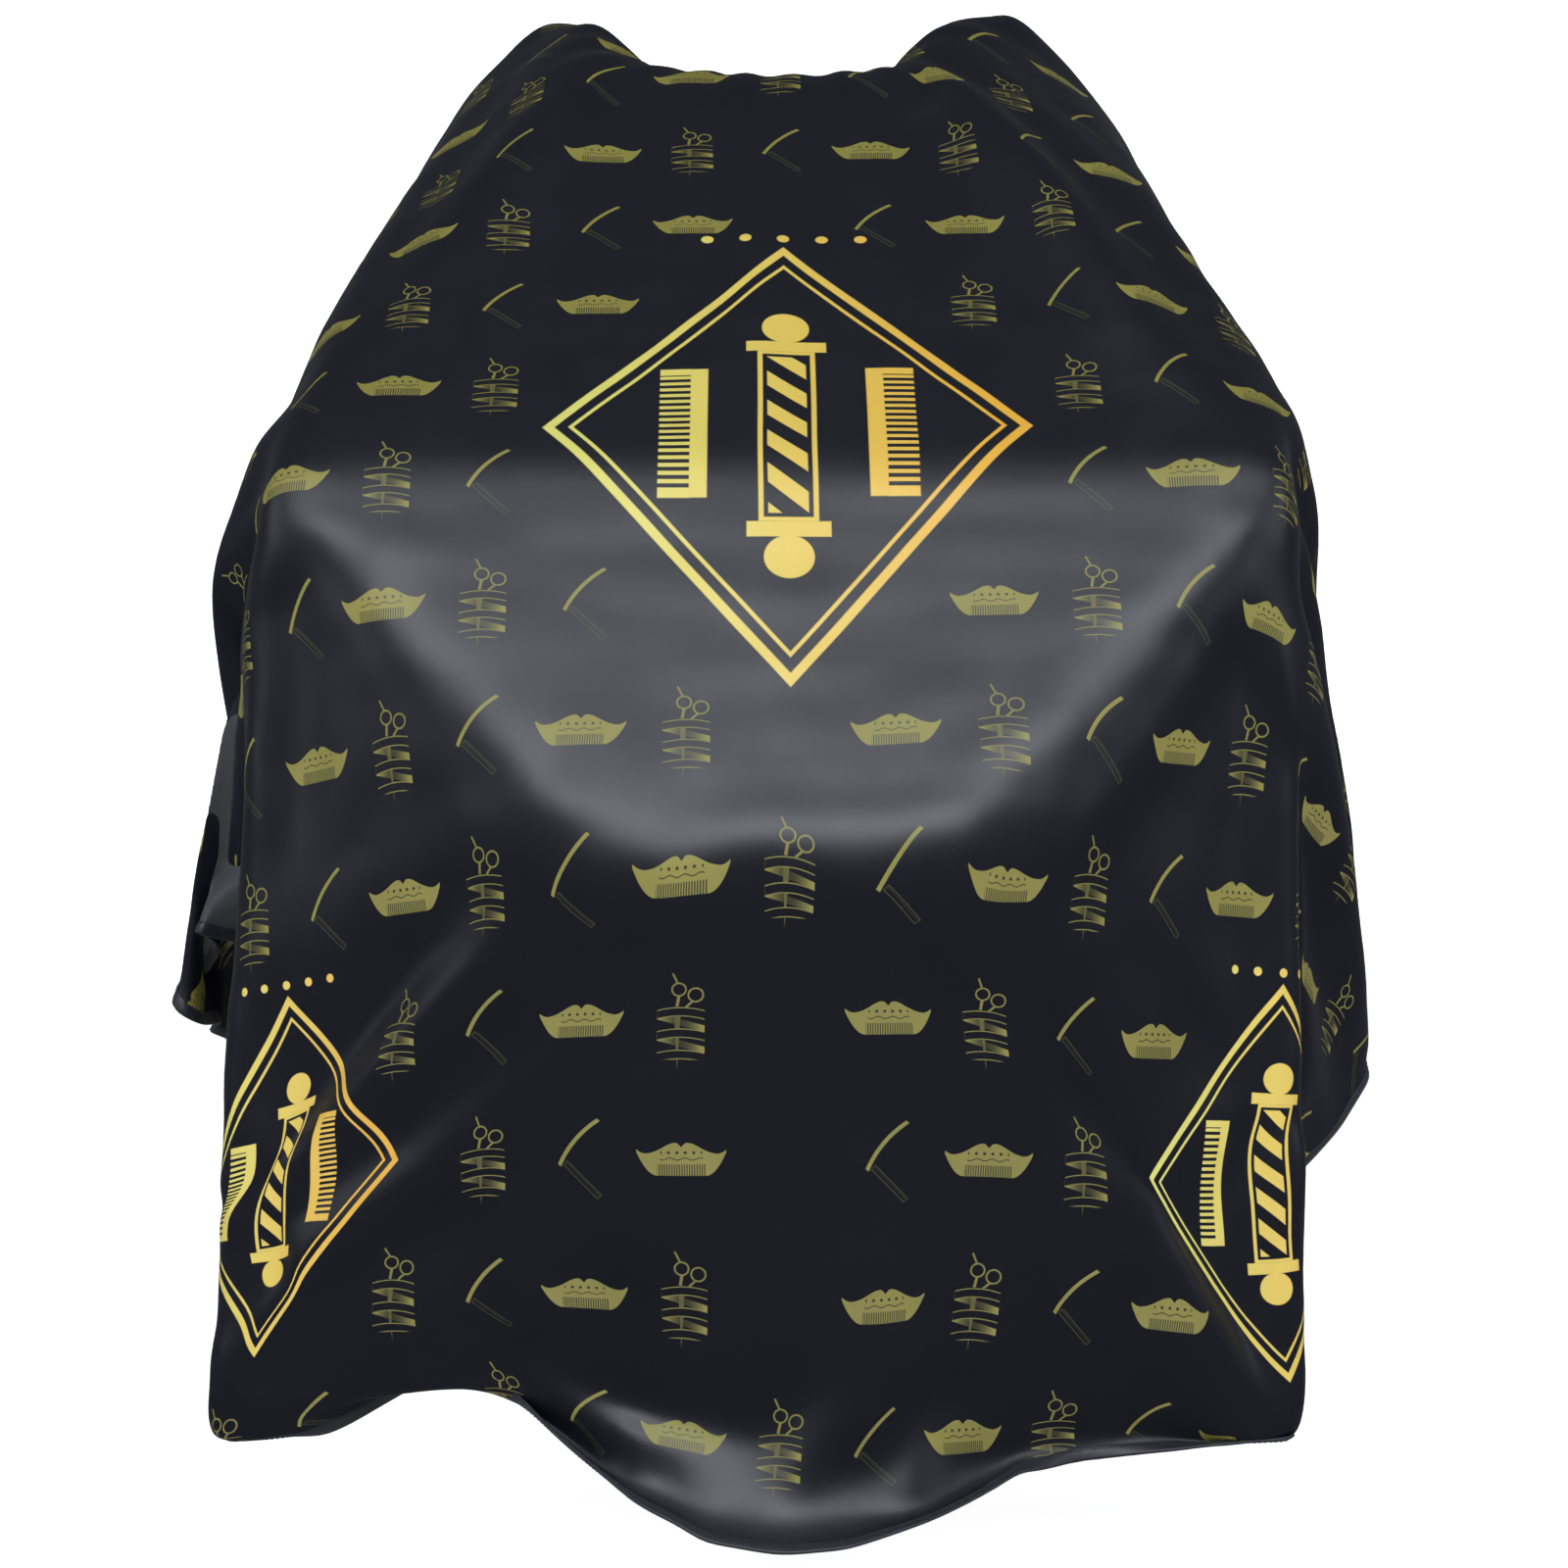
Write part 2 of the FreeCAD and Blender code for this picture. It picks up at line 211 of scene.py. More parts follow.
GOLD_ORANGE = (0.66, 0.36, 0.04)
WEAVE_PITCH = 0.055
WEAVE_DEPTH = 0.000004
CREASE_DEPTH = 0.0006

# ---- the room
LIGHT_COLOUR = (0.90, 0.94, 1.0)
WORLD_GLOW = 0.06
ROOM = 6.0
FLOOR_GAP = 0.016
LENS = 85
CAMERA_PLACE = (0.003, -2.757, -0.500)
WALL_GLOW = 0.95
FLOOR_GLOW = 0.95


# ---- helpers

def make_object(name, vertices, faces):
    mesh = bpy.data.meshes.new(name)
    mesh.from_pydata(vertices, [], faces)
    mesh.update()
    obj = bpy.data.objects.new(name, mesh)
    bpy.context.scene.collection.objects.link(obj)
    return obj


def smooth(obj):
    for polygon in obj.data.polygons:
        polygon.use_smooth = True
    return obj


def ring_faces(first, count, rings):
    """The faces that join rings of points, and the two that close the ends."""
    faces = []
    for base in range(first, first + count * (rings - 1), count):
        for side in range(count):
            after = (side + 1) % count
            faces.append((base + side, base + after, base + count + after, base + count + side))
    end = first + count * rings
    return faces + [tuple(range(first, first + count)), tuple(range(end - 1, end - 1 - count, -1))]


def tube(name, vertices, count):
    """A closed solid from rings of points, each with the same count."""
    obj = smooth(make_object(name, vertices, ring_faces(0, count, len(vertices) // count)))
    shape = bmesh.new()
    shape.from_mesh(obj.data)
    bmesh.ops.recalc_face_normals(shape, faces=shape.faces)
    shape.to_mesh(obj.data)
    shape.free()
    return obj


def settled(obj):
    """The object's mesh with its modifiers applied."""
    depsgraph = bpy.context.evaluated_depsgraph_get()
    mesh = bpy.data.meshes.new_from_object(obj.evaluated_get(depsgraph))
    obj.modifiers.clear()
    obj.data = mesh
    return obj


def blended(low, high, amount):
    return tuple(a + (b - a) * amount for a, b in zip(low, high))


# ---- the sheet, cut flat and draped over the seated body

def half_width(v):
    """Half the sheet's width at v: it is drawn in towards the lower corners."""
    along = min(1.0, max(0.0, (v - TAPER_START) / (FRONT_LENGTH - TAPER_START)))
    return HALF_WIDTH * (1 - TAPER * along ** TAPER_POWER)


def flat_place(across, v):
    """The flat point at a fraction across a row: the bottom edge rises to its corners and at two nips."""
    down = max(0.0, (v - BOW_START) / (FRONT_LENGTH - BOW_START))
    u = half_width(v) * across
    nip = NIP * math.exp(-((abs(u) - NIP_AT) / NIP_REACH) ** 2)
    return (u, v - down * (BOW * across ** 2 + nip))


def cut_sheet():
    """The flat sheet's points and faces, its neck edge's points, and where its carried points are taken."""
    columns = round(2 * HALF_WIDTH / GRID_STEP)
    rows = round((BACK_LENGTH + FRONT_LENGTH) / GRID_STEP)
    flat = []
    index = {}
    carried = {}
    for row in range(rows + 1):
        v = -BACK_LENGTH + (BACK_LENGTH + FRONT_LENGTH) * row / rows
        for column in range(columns + 1):
            index[column, row] = len(flat)
            flat.append(flat_place(2 * column / columns - 1, v))
            if row == rows:
                carried[index[column, row]] = place_between(HEM_PLACES, flat[-1][0])
            elif column in (0, columns) and v >= LEFT_PLACES[0][0]:
                carried[index[column, row]] = place_between(RIGHT_PLACES if column else LEFT_PLACES, v)
        if v < -NECK_CUT / 2:
            index["slit", row] = len(flat)
            flat.append((0.0, v))
    faces = []
    beside_cut = set()
    for row in range(rows):
        for column in range(columns):
            left = "slit" if column == columns // 2 else column
            corners = [
                index.get((left, row), index[column, row]),
                index.get((left, row + 1), index[column, row + 1]),
                index[column + 1, row + 1],
                index[column + 1, row],
            ]
            if min(math.hypot(*flat[corner]) for corner in corners) < NECK_CUT - 0.35 * GRID_STEP:
                beside_cut.update(corners)
            else:
                faces.append(corners)
    kept = sorted({corner for face in faces for corner in face})
    place = {old: new for new, old in enumerate(kept)}
    flat = [flat[old] for old in kept]
    faces = [[place[corner] for corner in face] for face in faces]
    neck = [place[old] for old in sorted(beside_cut) if old in place]
    for point in neck:
        radius = math.hypot(*flat[point])
        flat[point] = (flat[point][0] * NECK_CUT / radius, flat[point][1] * NECK_CUT / radius)
    return flat, faces, neck, {place[old]: target for old, target in carried.items()}


def held_up(u, v):
    """Where a point of the sheet starts: flat, level with the neck and lifted away from it."""
    radius = math.hypot(u, v)
    away = min(1.0, max(0.0, (radius - NECK_CUT) / LIFT_REACH))
    inset = 1 - (1 - NECK_EDGE_RADIUS / NECK_CUT) * (1 - away)
    return (u * inset, -v * inset, NECK_EDGE_Z + LIFT * away)


def place_between(places, along):
    """The place at a distance along a run of (distance, place) pairs."""
    for (low_along, low), (high_along, high) in zip(places, places[1:]):
        if along <= high_along + GRID_STEP / 100:
            return blended(low, high, (along - low_along) / (high_along - low_along))


def collider(name, points, mirrored=False):
    """A closed convex solid for the sheet to fall on."""
    mesh = bpy.data.meshes.new(name)
    shape = bmesh.new()
    for x, y, z in points:
        shape.verts.new((x, y, z))
        if mirrored:
            shape.verts.new((-x, y, z))
    hull = bmesh.ops.convex_hull(shape, input=shape.verts)
    spare = hull["geom_interior"] + hull["geom_unused"]
    loose = {part for part in spare if isinstance(part, bmesh.types.BMVert)}
    bmesh.ops.delete(shape, geom=list(loose), context="VERTS")
    bmesh.ops.recalc_face_normals(shape, faces=shape.faces)
    shape.to_mesh(mesh)
    shape.free()
    obj = bpy.data.objects.new(name, mesh)
    bpy.context.scene.collection.objects.link(obj)
    remesh = obj.modifiers.new("remesh", "REMESH")
    remesh.mode = "VOXEL"
    remesh.voxel_size = COLLIDER_VOXEL
    settled(obj)
    obj.modifiers.new("collision", "COLLISION")
    obj.collision.thickness_outer = 0.003
    obj.collision.thickness_inner = 0.03
    obj.collision.cloth_friction = 5
    return obj


def body_colliders():
    solids = [collider("under_chest", CHEST, mirrored=True), collider("under_lap", LAP, mirrored=True),
              collider("under_left_post", LEFT_POST), collider("under_right_post", RIGHT_POST)]
    for side in (-1, 1):
        for name, points in (("shoulder", SHOULDER), ("armrest", ARMREST), ("flare", FLARE),
                             ("foot", FOOT + SHIN)):
            solids.append(collider("under_" + name, [(side * x, y, z) for x, y, z in points]))
    return solids


def fall(start, flat, faces, pinned, carried, frames):
    """Where a sheet's points are after some frames of falling, with some points held and others carried."""
    obj = make_object("falling_sheet", start, faces)
    obj.shape_key_add(name="start")
    cut = obj.shape_key_add(name="cut")
    moved = obj.shape_key_add(name="moved")
    for point, (u, v) in enumerate(flat):
        cut.data[point].co = (u, -v, 0)
    for point, target in carried.items():
        moved.data[point].co = target
    moved.value = 0
    moved.keyframe_insert("value", frame=1)
    moved.value = 1
    moved.keyframe_insert("value", frame=CARRY_FRAMES)
    obj.vertex_groups.new(name="pinned").add(pinned, 1.0, "REPLACE")
    cloth = obj.modifiers.new("Cloth", "CLOTH")
    settings = cloth.settings
    settings.rest_shape_key = cut
    settings.vertex_group_mass = "pinned"
    for setting, value in CLOTH_SETTINGS.items():
        setattr(settings, setting, value)
    cloth.collision_settings.distance_min = 0.003
    cloth.collision_settings.collision_quality = 3
    cloth.point_cache.frame_start = 1
    cloth.point_cache.frame_end = frames
    scene = bpy.context.scene
    scene.frame_start = 1
    scene.frame_end = frames
    for number in range(1, frames + 1):
        scene.frame_set(number)
    depsgraph = bpy.context.evaluated_depsgraph_get()
    fallen = [tuple(vertex.co) for vertex in obj.evaluated_get(depsgraph).data.vertices]
    bpy.data.objects.remove(obj)
    for action in list(bpy.data.actions):
        bpy.data.actions.remove(action)
    scene.frame_set(1)
    return fallen


def drape():
    """The sheet after it has fallen over the body, as one surface with its flat coordinates as UVs."""
    flat, faces, neck, carried = cut_sheet()
    solids = body_colliders()
    start = [held_up(u, v) for u, v in flat]
    held = fall(start, flat, faces, neck + list(carried), carried, HELD_FRAMES)
    kept = {point: held[point] for point in carried if stays_held(*flat[point])}
    fallen = fall(held, flat, faces, neck + list(kept), {}, FREE_FRAMES)
    for obj in solids:
        bpy.data.objects.remove(obj)
    fallen = calmed(fallen, flat, faces, neck)
    surface = make_object("printed_panel", fallen, faces)
    layer = surface.data.uv_layers.new(name="flat")
    for loop in surface.data.loops:
        layer.data[loop.index].uv = flat[loop.vertex_index]
    subdivide = surface.modifiers.new("subdivide", "SUBSURF")
    subdivide.levels = SUBDIVISIONS
    settled(surface)
    crinkle(surface)
    return smooth(surface)


def stays_held(u, v):
    """Whether an edge point stays where it was carried: the ends of the long folds and the lower corners."""
    on_fold = any(low <= u <= high for low, high in HELD_HEM)
    return on_fold or (abs(u) > 0.44 and v > 0.84)


def calmed(points, flat, faces, fixed):
    """The points evened out between their neighbours, most of all near the neck, where the sheet bunches."""
    neighbours = [set() for _ in points]
    for face in faces:
        for corner, after in zip(face, face[1:] + face[:1]):
            neighbours[corner].add(after)
            neighbours[after].add(corner)
    fixed = set(fixed)
    edge = {point for point, near in enumerate(neighbours) if len(near) < 4}
    for sweep in range(CALM_SWEEPS):
        moved = list(points)
        for point, near in enumerate(neighbours):
            wide = sweep < CALM_SWEEPS_ALL or math.hypot(*flat[point]) < CALM_REACH
            if point not in fixed and point not in edge and wide:
                middle = sum((Vector(points[other]) for other in near), Vector()) / len(near)
                moved[point] = tuple(Vector(points[point]).lerp(middle, 0.5))
        points = moved
    return points


def flat_places(mesh):
    """Each vertex's place on the flat sheet."""
    places = [None] * len(mesh.vertices)
    layer = mesh.uv_layers["flat"]
    for loop in mesh.loops:
        places[loop.vertex_index] = layer.data[loop.index].uv.copy()
    return places


def crinkle(surface):
    """Gathers round the neck edge and soft drag lines, too fine for the falling sheet."""
    places = flat_places(surface.data)
    normals = [vertex.normal.copy() for vertex in surface.data.vertices]
    for vertex, normal, (u, v) in zip(surface.data.vertices, normals, places):
        radius = math.hypot(u, v)
        turn = math.atan2(u, v)
        near_neck = math.exp(-max(0.0, radius - 0.09) / 0.09) * min(1.0, (radius - NECK_CUT) / 0.03)
        gathers = math.sin(turn * 23 + 2.5 * noise.noise(Vector((turn * 2, radius * 6, 1.0))))
        drags = noise.noise(Vector((u * 22, v * 5, 7.0))) + 0.5 * noise.noise(Vector((u * 9, v * 31, 3.0)))
        vertex.co += normal * (0.0016 * near_neck * gathers + 0.0012 * drags * min(1.0, radius / 0.2))


class Drape:
    """The draped surface, looked up by a point of the flat sheet."""

    def __init__(self, mesh):
        mesh.calc_loop_triangles()
        self.flat = [Vector((u, v, 0.0)) for u, v in flat_places(mesh)]
        self.places = [vertex.co.copy() for vertex in mesh.vertices]
        self.normals = [vertex.normal.copy() for vertex in mesh.vertices]
        self.triangles = [tuple(triangle.vertices) for triangle in mesh.loop_triangles]
        self.tree = BVHTree.FromPolygons(self.flat, self.triangles)

    def at(self, u, v):
        """The surface's point and outward normal there."""
        point, _, triangle, _ = self.tree.find_nearest(Vector((u, v, 0.0)))
        corners = self.triangles[triangle]
        ends = [self.flat[corner] for corner in corners]
        place = barycentric_transform(point, *ends, *[self.places[corner] for corner in corners])
        normal = barycentric_transform(point, *ends, *[self.normals[corner] for corner in corners])
        return place, normal.normalized()


def give_thickness(surface):
    thicken = surface.modifiers.new("thickness", "SOLIDIFY")
    thicken.thickness = SHEET_THICKNESS
    thicken.offset = 0
    thicken.material_offset = 1
    settled(surface)


# ---- hems and their stitching

def edge_paths():
    """Each hemmed edge: the CAD node it replaces, its path on the flat sheet, and the direction inwards."""
    side_lengths = [-BACK_LENGTH + (BACK_LENGTH + FRONT_LENGTH) * step / 300 for step in range(301)]
    paths = [("bottom_hem", [flat_place(2 * step / 185 - 1, FRONT_LENGTH) for step in range(186)], (0, -1))]
    for side, word in ((-1, "left"), (1, "right")):
        paths.append(("side_hem_" + word, [flat_place(side, v) for v in side_lengths], (-side, 0)))
        back = [(side * max(HALF_WIDTH * (1 - step / 140), SLIT_GAP), -BACK_LENGTH) for step in range(141)]
        paths.append(("back_hem_" + word, back, (0, 1)))
        slit = [(side * SLIT_GAP, -BACK_LENGTH + (BACK_LENGTH - NECK_CUT) * step / 25) for step in range(26)]
        paths.append(("slit_hem_" + word, slit, (side, 0)))
    return paths


def edge_frame(drape_map, point, inward):
    """The sheet's edge point, the direction from it into the sheet, and the outward normal."""
    edge, normal = drape_map.at(*point)
    inner, _ = drape_map.at(point[0] + inward[0] * HEM_WIDTH, point[1] + inward[1] * HEM_WIDTH)
    across = (inner - edge).normalized()
    return edge, across, (normal - across * normal.dot(across)).normalized()


def hem(drape_map, name, path, inward):
    """A turned hem wrapped round one edge of the sheet, slightly puckered between its stitches."""
    vertices = []
    run = 0.0
    last = None
    for point in path:
        edge, across, normal = edge_frame(drape_map, point, inward)
        if last is not None:
            run += (edge - last).length
        last = edge
        swell = 1 + HEM_PUCKER * math.sin(2 * math.pi * run / PUCKER_PITCH) * noise.noise(edge * 60)
        for inset, height in HEM_SECTION:
            vertices.append(edge + across * inset + normal * height * swell)
    return tube(name + "_rolled", vertices, len(HEM_SECTION))


class Stitches:
    """Short raised lengths of thread, collected into one mesh."""

    def __init__(self):
        self.vertices = []
        self.faces = []

    def add(self, centre, along, up):
        across = along.cross(up).normalized()
        first = len(self.vertices)
        for step, size in ((-0.5, 0.35), (-0.25, 0.9), (0.25, 0.9), (0.5, 0.35)):
            middle = centre + along * STITCH_LENGTH * step
            for side, rise in ((-1, -0.4), (-0.7, 0.6), (0.7, 0.6), (1, -0.4)):
                offset = across * side * STITCH_WIDTH / 2 + up * rise * STITCH_WIDTH
                self.vertices.append(middle + offset * size)
        for ring in range(3):
            base = first + 4 * ring
            for side in range(4):
                after = (side + 1) % 4
                self.faces.append((base + side, base + after, base + 4 + after, base + 4 + side))
        self.faces.append((first + 3, first + 2, first + 1, first))
        self.faces.append((first + 12, first + 13, first + 14, first + 15))

    def row(self, points, normals):
        """Stitches at an even pitch along a run of points."""
        due = STITCH_PITCH
        for (start, end), up in zip(zip(points, points[1:]), normals):
            length = (end - start).length
            if length < STITCH_WIDTH / 10:
                continue
            along = (end - start) / length
            while due <= length:
                self.add(start + along * due, along, up)
                due += STITCH_PITCH
            due -= length

    def finished(self, name):
        return smooth(make_object(name, self.vertices, self.faces))


def hem_stitches(drape_map, paths):
    stitches = Stitches()
    for _, path, inward in paths:
        for face in (1, -1):
            points = []
            normals = []
            for point in path:
                edge, across, normal = edge_frame(drape_map, point, inward)
                points.append(edge + across * SEAM_INSET + normal * face * SEAM_HEIGHT)
                normals.append(normal * face)
            stitches.row(points, normals)
    return stitches.finished("hem_thread")


# ---- neckband and closure tab

def round_neck(angle, radius, height):
    turn = math.radians(angle)
    return Vector((radius * math.cos(turn), radius * math.sin(turn), height))


def folded_section(inside, outside, low, high, turned):
    """An outer cloth's section: flat on the outside, folded over both edges and back towards the neck."""
    layer = CLOTH_LAYER
    half = [
        (outside, high - 2.2 * layer), (outside - 0.3 * layer, high - 0.9 * layer),
        (outside - 1.4 * layer, high - 0.1 * layer), ((inside + outside) / 2, high),
        (inside + layer, high - 0.15 * layer), (inside + 0.1 * layer, high - 0.9 * layer),
        (inside, high - turned), (inside + layer, high - turned - 0.2 * layer),
        (inside + 1.3 * layer, high - 2 * layer), (outside - layer, high - 2 * layer),
    ]
    middle = (low + high) / 2
    below = [(radius, 2 * middle - height) for radius, height in reversed(half)]
    steps = (0.35, 0.0, -0.35)
    outer = [(outside, middle + (high - low) / 2 * step) for step in reversed(steps)]
    inner = [(outside - layer, middle + (high - low) / 2 * step) for step in steps]
    return half + inner + below + outer


def strip_section(inside, outside, low, high):
    """A flat strip's section with softened edges."""
    soft = (outside - inside) / 2
    middle = (low + high) / 2
    return [(inside, low + soft), (inside, middle), (inside, high - soft), ((inside + outside) / 2, high),
            (outside, high - soft), (outside, middle), (outside, low + soft), ((inside + outside) / 2, low)]


def neck_strip(name, section, start, end, tip_round=0.0, ripple=0.00008, root_round=0.0):
    """A section swept round the neck from one angle to another, its ends rounded off where asked."""
    steps = max(8, round(abs(end - start)))
    middle = sum(height for _, height in section) / len(section)
    radius = max(radius for radius, _ in section)
    half = max(abs(height - middle) for _, height in section)
    vertices = []
    for step in range(steps + 1):
        angle = start + (end - start) * step / steps
        squeeze = 1.0
        for corner, distance in ((tip_round, step), (root_round, steps - step)):
            along = math.radians(abs(end - start) * distance / steps) * radius
            if corner and along < corner:
                inset = corner - math.sqrt(corner ** 2 - (corner - along) ** 2)
                squeeze = min(squeeze, 1 - inset / half)
        for out, height in section:
            wave = ripple * noise.noise(Vector((angle / 3.0, height * 260, radius * 900)))
            vertices.append(round_neck(angle, out + wave, middle + (height - middle) * squeeze))
    return tube(name, vertices, len(section))


def round_row(stitches, radius, height, start, end, outward=True):
    steps = max(2, round(abs(end - start)))
    angles = [start + (end - start) * step / steps for step in range(steps + 1)]
    facing = 1 if outward else -1
    points = [round_neck(angle, radius, height) for angle in angles]
    normals = [round_neck(angle, facing, 0.0) for angle in angles]
    stitches.row(points, normals)


def upright_row(stitches, radius, angle, low, high):
    ends = [round_neck(angle, radius, height) for height in (low, high)]
    stitches.row(ends, [round_neck(angle, 1, 0.0)])


def neckband():
    """The ring's layers, its seam tape and its stitching, each with its CAD node and material slot."""
    stiffener_inside = NECK_RADIUS + CLOTH_LAYER
    stiffener_outside = stiffener_inside + STIFFENER_LAYER
    end = BAND_START + BAND_SWEEP
    section = folded_section(NECK_RADIUS + LAYER_GAP, BAND_RADIUS, BAND_LOW, BAND_HIGH, COVER_TURNED)
    cover = neck_strip("neckband_outer", section, BAND_START, end)
    section = strip_section(NECK_RADIUS, stiffener_inside, BAND_LOW + LINING_INSET, BAND_HIGH - LINING_INSET)
    lining = neck_strip("neckband_inner", section, BAND_START + 0.3, end - 0.3)
    low, high = BAND_LOW + CORE_INSET, BAND_HIGH - CORE_INSET
    section = strip_section(stiffener_inside, stiffener_outside, low, high)
    core = neck_strip("neckband_core", section, BAND_START + 0.2, end - 0.2)
    section = strip_section(BAND_RADIUS, BAND_RADIUS + TAPE_THICKNESS, TAPE_LOW, TAPE_HIGH)
    tape = neck_strip("neck_seam_binding", section, BAND_START, end, ripple=TAPE_RIPPLE)
    rows = Stitches()
    for height in (BAND_LOW + ROW_INSET, BAND_HIGH - ROW_INSET):
        round_row(rows, BAND_RADIUS + ROW_RISE, height, BAND_START + 1.5, end - 1.5)
        round_row(rows, NECK_RADIUS - ROW_RISE, height, BAND_START + 1.5, end - 1.5, outward=False)
    for angle in (BAND_START + 1.7, end - 1.7):
        upright_row(rows, BAND_RADIUS + ROW_RISE, angle, BAND_LOW + ROW_INSET, BAND_HIGH - ROW_INSET)
    thread = rows.finished("neckband_thread")
    return [(cover, "neckband_cover", "band_cloth"), (lining, "neckband_lining", "lining_cloth"),
            (core, "neckband_stiffener", "interlining"), (tape, "neck_seam_tape", "band_cloth"),
            (thread, "neckband_stitching", "thread")]


def tab_pieces():
    """The closure tab's layers, its sewn-down base and its stitching."""
    stiffener_inside = TAB_INSIDE + CLOTH_LAYER
    stiffener_outside = stiffener_inside + STIFFENER_LAYER
    section = folded_section(TAB_INSIDE, TAB_OUTSIDE, TAB_LOW, TAB_HIGH, COVER_TURNED)
    cover = neck_strip("tab_outer", section, TAB_TIP, BASE_START + 2.5, tip_round=0.005)
    section = strip_section(TAB_INSIDE, stiffener_inside, TAB_LOW + LINING_INSET, TAB_HIGH - LINING_INSET)
    lining = neck_strip("tab_inner", section, TAB_TIP + 1.2, TAB_ROOT, tip_round=0.004)
    section = strip_section(stiffener_inside, stiffener_outside, TAB_LOW + CORE_INSET, TAB_HIGH - CORE_INSET)
    core = neck_strip("tab_core", section, TAB_TIP + 0.8, TAB_ROOT, tip_round=0.0045)
    section = strip_section(BAND_RADIUS + BASE_GAP, TAB_OUTSIDE, TAB_LOW, TAB_HIGH)
    base = neck_strip("tab_anchor", section, BASE_START, BASE_END, root_round=0.003)
    rows = Stitches()
    for height in (TAB_LOW + ROW_INSET, TAB_HIGH - ROW_INSET):
        round_row(rows, TAB_OUTSIDE + ROW_RISE, height, TAB_TIP + 3.0, TAB_ROOT - 1.5)
    upright_row(rows, TAB_OUTSIDE + ROW_RISE, TAB_TIP + 2.8, TAB_LOW + ROW_INSET, TAB_HIGH - ROW_INSET)
    thread = rows.finished("tab_thread")
    return cover, lining, core, base, thread


def anchor_thread():
    """A sewn box with a cross, where the tab's base is stitched to the band."""
    rows = Stitches()
    first = BASE_START + 3.2
    last = BASE_END - 2.0
    low = TAB_LOW + ROW_INSET
    high = TAB_HIGH - ROW_INSET
    radius = TAB_OUTSIDE + ROW_RISE
    for height in (low, high):
        round_row(rows, radius, height, first, last)
    for angle in (first, last):
        upright_row(rows, radius, angle, low, high)
    for start, end in ((low, high), (high, low)):
        points = [round_neck(first + (last - first) * step / 8, radius, start + (end - start) * step / 8)
                  for step in range(9)]
        rows.row(points, [point.normalized() for point in points])
    return rows.finished("tab_anchor_thread")


# ---- materials

class Field:
    """A number at every point of a surface, worked out by shader math nodes."""

    def __init__(self, tree, output):
        self.tree = tree
        self.output = output

    def math(self, operation, *others, clamp=False):
        node = self.tree.nodes.new("ShaderNodeMath")
        node.operation = operation
        node.use_clamp = clamp
        for slot, value in zip(node.inputs, (self, *others)):
            if isinstance(value, Field):
                self.tree.links.new(value.output, slot)
            else:
                slot.default_value = value
        return Field(self.tree, node.outputs[0])

    def __add__(self, other):
        return self.math("ADD", other)

    def __sub__(self, other):
        return self.math("SUBTRACT", other)

    def __mul__(self, other):
        return self.math("MULTIPLY", other)

    def __abs__(self):
        return self.math("ABSOLUTE")

    def scaled(self, factor, offset):
        return self.math("MULTIPLY_ADD", factor, offset)

    def inside(self, blur=EDGE_BLUR):
        """1 where this distance is below zero and 0 where it is above, with a soft edge."""
        return self.math("MULTIPLY_ADD", -1.0 / blur, 0.5, clamp=True)

    def equals(self, value):
        return self.math("COMPARE", value, 0.5)

    def hypot(self, other):
        return (self * self + other * other).math("SQRT")

    def wave(self, period):
        return (self * (2 * math.pi / period)).math("SINE")


def largest(*fields):
    result = fields[0]
    for field in fields[1:]:
        result = result.math("MAXIMUM", field)
    return result


def box_distance(x, y, half_x, half_y):
    return largest(abs(x) - half_x, abs(y) - half_y)


def ring_distance(x, y, centre_x, centre_y, radius, half_line):
    return abs((x - centre_x).hypot(y - centre_y) - radius) - half_line


def along_line(x, y, start, end):
    """Coordinates along and across a line, and its length."""
    length = math.hypot(end[0] - start[0], end[1] - start[1])
    cos = (end[0] - start[0]) / length
    sin = (end[1] - start[1]) / length
    dx = x - start[0]
    dy = y - start[1]
    return dx * cos + dy * sin, dy * cos - dx * sin, length


def line_distance(x, y, start, end, half_line):
    along, across, length = along_line(x, y, start, end)
    return largest(abs(across) - half_line, abs(along - length / 2) - length / 2)


# The motifs and the emblem: x and y are centimetres from the middle of one, with y upwards.

def moustache_comb(x, y):
    """A filled moustache whose lower edge is cut into comb teeth."""
    side = abs(x)
    hump = (side - 0.35) * 0.95
    hump = ((hump * hump) * -1.0).math("EXPONENT")
    dip = side * 6.0
    dip = ((dip * dip) * -1.0).math("EXPONENT")
    curl = (side - 2.05).math("MAXIMUM", 0.0)
    top = hump.scaled(0.75, 0.30) - dip * 0.18 + curl * curl * 0.75
    rise = (side - 1.45).math("MAXIMUM", 0.0)
    bottom = (rise * rise).scaled(0.98, -1.05)
    body = largest(y - top, bottom - y, side - 2.68).inside()
    teeth = (x.wave(0.15) * 2.0).scaled(1.0, 0.5).math("ADD", 0.0, clamp=True)
    slots = largest(side - 1.45, abs(y + 0.70) - 0.38).inside() * teeth
    scroll = largest(abs(y - 0.02 - x.wave(0.9) * 0.07) - 0.035, side - 1.3).inside()
    spacing = side.math("FLOORED_MODULO", 0.5) - 0.25
    beads = largest(spacing.hypot(y - 0.42) - 0.10, side - 1.25).inside()
    return body * largest(slots, scroll, beads).scaled(-0.85, 1.0)


